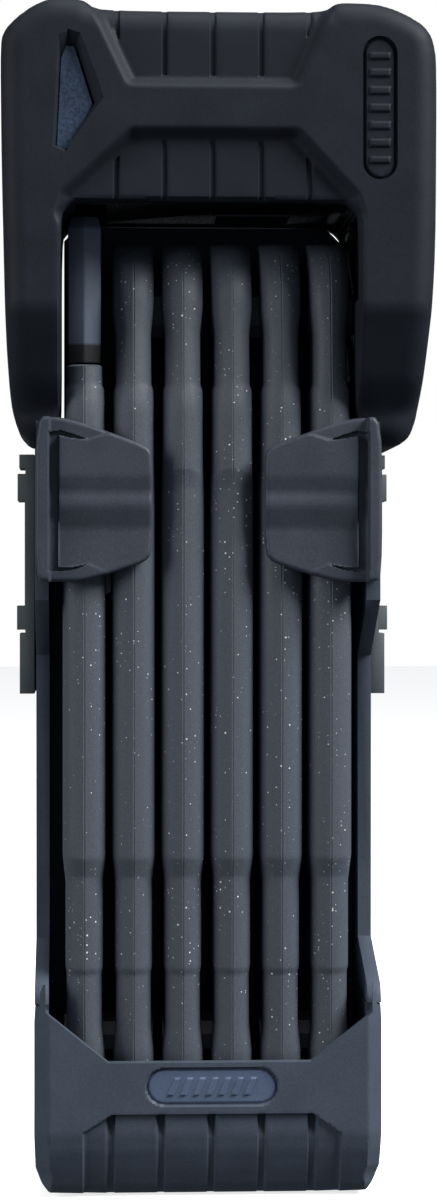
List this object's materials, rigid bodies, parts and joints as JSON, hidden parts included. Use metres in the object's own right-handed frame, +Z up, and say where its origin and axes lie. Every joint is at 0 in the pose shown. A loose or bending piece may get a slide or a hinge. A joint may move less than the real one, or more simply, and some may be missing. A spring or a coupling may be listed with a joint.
{
  "type": "folding bike lock",
  "caption": "Folding bicycle lock: riveted flat steel bars in soft sleeves under a two-legged lock head, standing in a cup-shaped frame holder with two sprung clips.",
  "frame": {"origin": "on the back face of the rubber frame pad, in line with the middle of the bar stack", "axes": "+X along the stack of bars, towards the pivot leg of the head; +Y into the bicycle frame, so -Y is the open front of the holder; +Z up along the folded bars"},
  "size_m": [0.0751, 0.0445, 0.2064],
  "materials": {
    "soft_touch": "soft-touch matt black",
    "holder_nylon": "fine moulded grain",
    "clip_nylon": "fine moulded grain",
    "bracket_nylon": "smooth moulded",
    "sleeve_coating": "speckled soft coating",
    "grained_insert": "coarse grain",
    "rubber": "matt",
    "blank_label": "semi-gloss film",
    "bar_steel": "satin paint over hardened steel",
    "black_steel": "gloss black over steel",
    "rivet_steel": "blackened",
    "zinc_steel": "zinc plated",
    "brass": "machined"
  },
  "bodies": {
    "holder": {"holder_body": "holder_nylon", "holder_cup": "holder_nylon", "cup_badge": "holder_nylon", "cup_liner": "rubber", "frame_bracket": "bracket_nylon", "frame_pad": "rubber", "bracket_screw_left": "zinc_steel", "bracket_screw_right": "zinc_steel"},
    "left_clip": {"left_clip_flap": "clip_nylon"},
    "right_clip": {"right_clip_flap": "clip_nylon"},
    "bar_6": {"bar_6_steel": "bar_steel", "bar_6_sleeve": "sleeve_coating", "rivet_56": "rivet_steel", "washer_56": "rivet_steel"},
    "bar_5": {"bar_5_steel": "bar_steel", "bar_5_sleeve": "sleeve_coating", "rivet_45": "rivet_steel", "washer_45": "rivet_steel"},
    "bar_4": {"bar_4_steel": "bar_steel", "bar_4_sleeve": "sleeve_coating", "rivet_34": "rivet_steel", "washer_34": "rivet_steel"},
    "bar_3": {"bar_3_steel": "bar_steel", "bar_3_sleeve": "sleeve_coating", "rivet_23": "rivet_steel", "washer_23": "rivet_steel"},
    "bar_2": {"bar_2_steel": "bar_steel", "bar_2_sleeve": "sleeve_coating", "rivet_12": "rivet_steel", "washer_12": "rivet_steel"},
    "bar_1": {"bar_1_steel": "bar_steel", "bar_1_sleeve": "sleeve_coating"},
    "head": {"head_core": "black_steel", "head_cover_front": "soft_touch", "head_cover_rear": "soft_touch", "window_insert": "grained_insert", "head_badge": "soft_touch", "underside_label": "blank_label", "cylinder_housing": "brass", "keyhole_bezel": "zinc_steel", "rivet_head": "rivet_steel", "washer_head": "rivet_steel", "head_cover_screw_1": "zinc_steel", "head_cover_screw_2": "zinc_steel", "head_cover_screw_3": "zinc_steel", "head_cover_screw_4": "zinc_steel"},
    "key_plug": {"cylinder_plug": "brass", "plug_cam": "zinc_steel"},
    "bolt": {"locking_bolt": "zinc_steel"},
    "weather_cover": {"keyhole_cover": "soft_touch"}
  },
  "joints": [
    {"name": "lock_lift", "type": "slide", "parent": "holder", "child": "bar_6", "axis": [0, 0, 1], "range_m": [0, 0.42], "deforming": ["left_clip_flap", "right_clip_flap"]},
    {"name": "fold_56", "type": "hinge", "parent": "bar_6", "child": "bar_5", "pos_m": [0.0129, -0.022, -0.079], "axis": [1, 0, 0], "range_deg": [0, 90]},
    {"name": "fold_45", "type": "hinge", "parent": "bar_5", "child": "bar_4", "pos_m": [0.0043, -0.022, 0.051], "axis": [1, 0, 0], "range_deg": [-90, 0]},
    {"name": "fold_34", "type": "hinge", "parent": "bar_4", "child": "bar_3", "pos_m": [-0.0043, -0.022, -0.079], "axis": [1, 0, 0], "range_deg": [0, 90]},
    {"name": "fold_23", "type": "hinge", "parent": "bar_3", "child": "bar_2", "pos_m": [-0.0129, -0.022, 0.051], "axis": [1, 0, 0], "range_deg": [-90, 0]},
    {"name": "fold_12", "type": "hinge", "parent": "bar_2", "child": "bar_1", "pos_m": [-0.0215, -0.022, -0.079], "axis": [1, 0, 0], "range_deg": [0, 90]},
    {"name": "head_fold", "type": "hinge", "parent": "bar_6", "child": "head", "pos_m": [0.0215, -0.022, 0.051], "axis": [-1, 0, 0], "range_deg": [0, 90]},
    {"name": "key_turn", "type": "hinge", "parent": "head", "child": "key_plug", "pos_m": [0.008, -0.024, 0.0985], "axis": [0, 0, -1], "range_deg": [0, 90]},
    {"name": "bolt_slide", "type": "slide", "parent": "head", "child": "bolt", "axis": [-1, 0, 0], "range_m": [0, 0.007]},
    {"name": "cover_slide", "type": "slide", "parent": "head", "child": "weather_cover", "axis": [0, 1, 0], "range_m": [0, 0.011]},
    {"name": "left_clip_flex", "type": "hinge", "parent": "holder", "child": "left_clip", "pos_m": [-0.0301, -0.035, 0.016], "axis": [0, 0, -1], "range_deg": [0, 70], "stiffness_Nm_per_rad": 0.12},
    {"name": "right_clip_flex", "type": "hinge", "parent": "holder", "child": "right_clip", "pos_m": [0.0301, -0.035, 0.016], "axis": [0, 0, 1], "range_deg": [0, 70], "stiffness_Nm_per_rad": 0.12}
  ],
  "couplings": [
    {"joint": "fold_56", "follows": "lock_lift", "rad_per_m": 2.2856},
    {"joint": "fold_45", "follows": "lock_lift", "rad_per_m": -0.99733},
    {"joint": "fold_34", "follows": "lock_lift", "rad_per_m": 2.0778},
    {"joint": "fold_23", "follows": "lock_lift", "rad_per_m": -0.99733},
    {"joint": "fold_12", "follows": "lock_lift", "rad_per_m": 2.0778},
    {"joint": "head_fold", "follows": "lock_lift", "rad_per_m": 1.6622},
    {"joint": "key_turn", "follows": "bolt_slide", "rad_per_m": 224.38}
  ]
}
